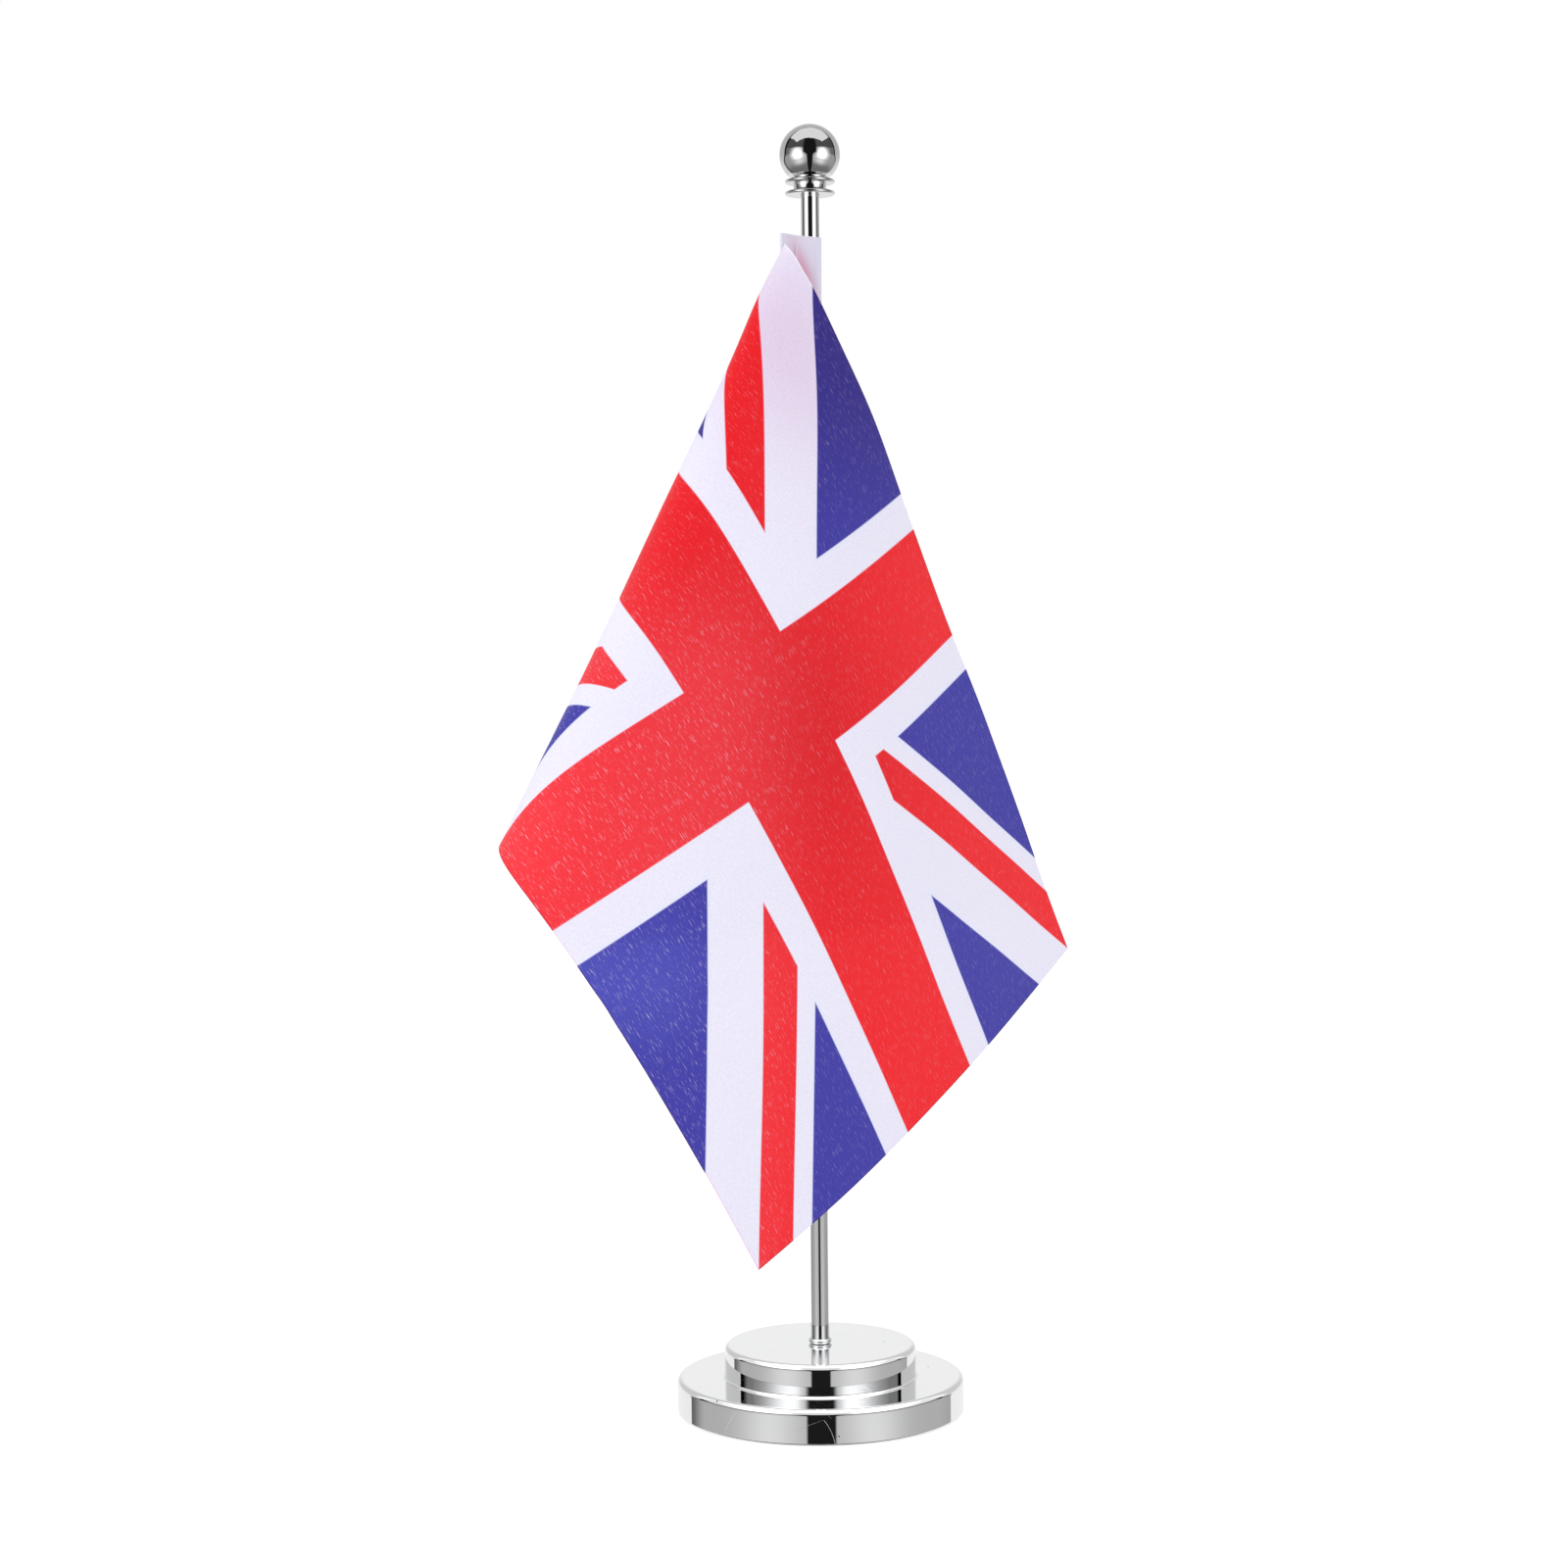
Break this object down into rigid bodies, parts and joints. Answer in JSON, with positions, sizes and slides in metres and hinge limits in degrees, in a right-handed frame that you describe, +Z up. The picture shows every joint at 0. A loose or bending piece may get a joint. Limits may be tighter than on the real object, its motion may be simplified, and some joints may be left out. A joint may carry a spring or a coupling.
{
  "type": "desk flag stand",
  "caption": "Desk flag stand: a small cloth flag hangs folded from a thin polished pole with a ball finial, on a round two-tier weighted base.",
  "frame": {"origin": "on the table, under the centre of the foot pad, on the pole's axis", "axes": "+Z up along the pole, -Y towards the viewer of the flag's face, +X to the viewer's right"},
  "size_m": [0.1341, 0.1083, 0.3119],
  "materials": {
    "chrome": "polished chrome plate with fine wiping scratches",
    "steel": "plain turned steel",
    "brass": "turned brass",
    "rubber": "matt black rubber",
    "foam": "fine dark foam rubber",
    "flag_cloth": "printed woven polyester with a soft sheen",
    "sleeve_cloth": "white woven polyester with a soft sheen",
    "thread": "white polyester sewing thread"
  },
  "bodies": {
    "base": {"foot_pad": "foam", "bottom_plate": "steel", "base_cover_lower": "chrome", "base_cover_upper": "chrome", "base_weight_lower": "steel", "base_weight_upper": "steel", "base_bush": "brass", "base_washer": "steel", "base_nut": "steel"},
    "foot_stud": {"pole_foot_stud": "steel"},
    "pole": {"pole_tube": "chrome", "pole_collar": "chrome"},
    "top_stud": {"finial_stud": "steel"},
    "finial": {"finial_ball": "chrome", "finial_upper_ring": "chrome", "finial_lower_ring": "chrome"},
    "stop": {"stop_ring": "rubber"},
    "flag": {"flag_cloth": "flag_cloth", "flag_sleeve": "sleeve_cloth", "sleeve_stitching": "thread"}
  },
  "joints": [
    {"name": "pole_lift", "type": "slide", "parent": "base", "child": "foot_stud", "axis": [0, 0, 1], "range_m": [0, 0.006]},
    {"name": "pole_turn", "type": "hinge", "parent": "foot_stud", "child": "pole", "pos_m": [0, 0, 0.0165], "axis": [0, 0, 1], "range_deg": [0, 4320]},
    {"name": "finial_lift", "type": "slide", "parent": "pole", "child": "top_stud", "axis": [0, 0, 1], "range_m": [0, 0.005]},
    {"name": "finial_turn", "type": "hinge", "parent": "top_stud", "child": "finial", "pos_m": [0, 0, 0.3], "axis": [0, 0, 1], "range_deg": [0, 3600]},
    {"name": "stop_slide", "type": "slide", "parent": "pole", "child": "stop", "axis": [0, 0, 1], "range_m": [-0.015, 0.008]},
    {"name": "flag_swivel", "type": "hinge", "parent": "stop", "child": "flag", "pos_m": [0, 0, 0.2], "axis": [0, 0, 1], "continuous": true}
  ],
  "couplings": [
    {"joint": "pole_turn", "follows": "pole_lift", "rad_per_m": 12566},
    {"joint": "finial_turn", "follows": "finial_lift", "rad_per_m": 12566}
  ]
}
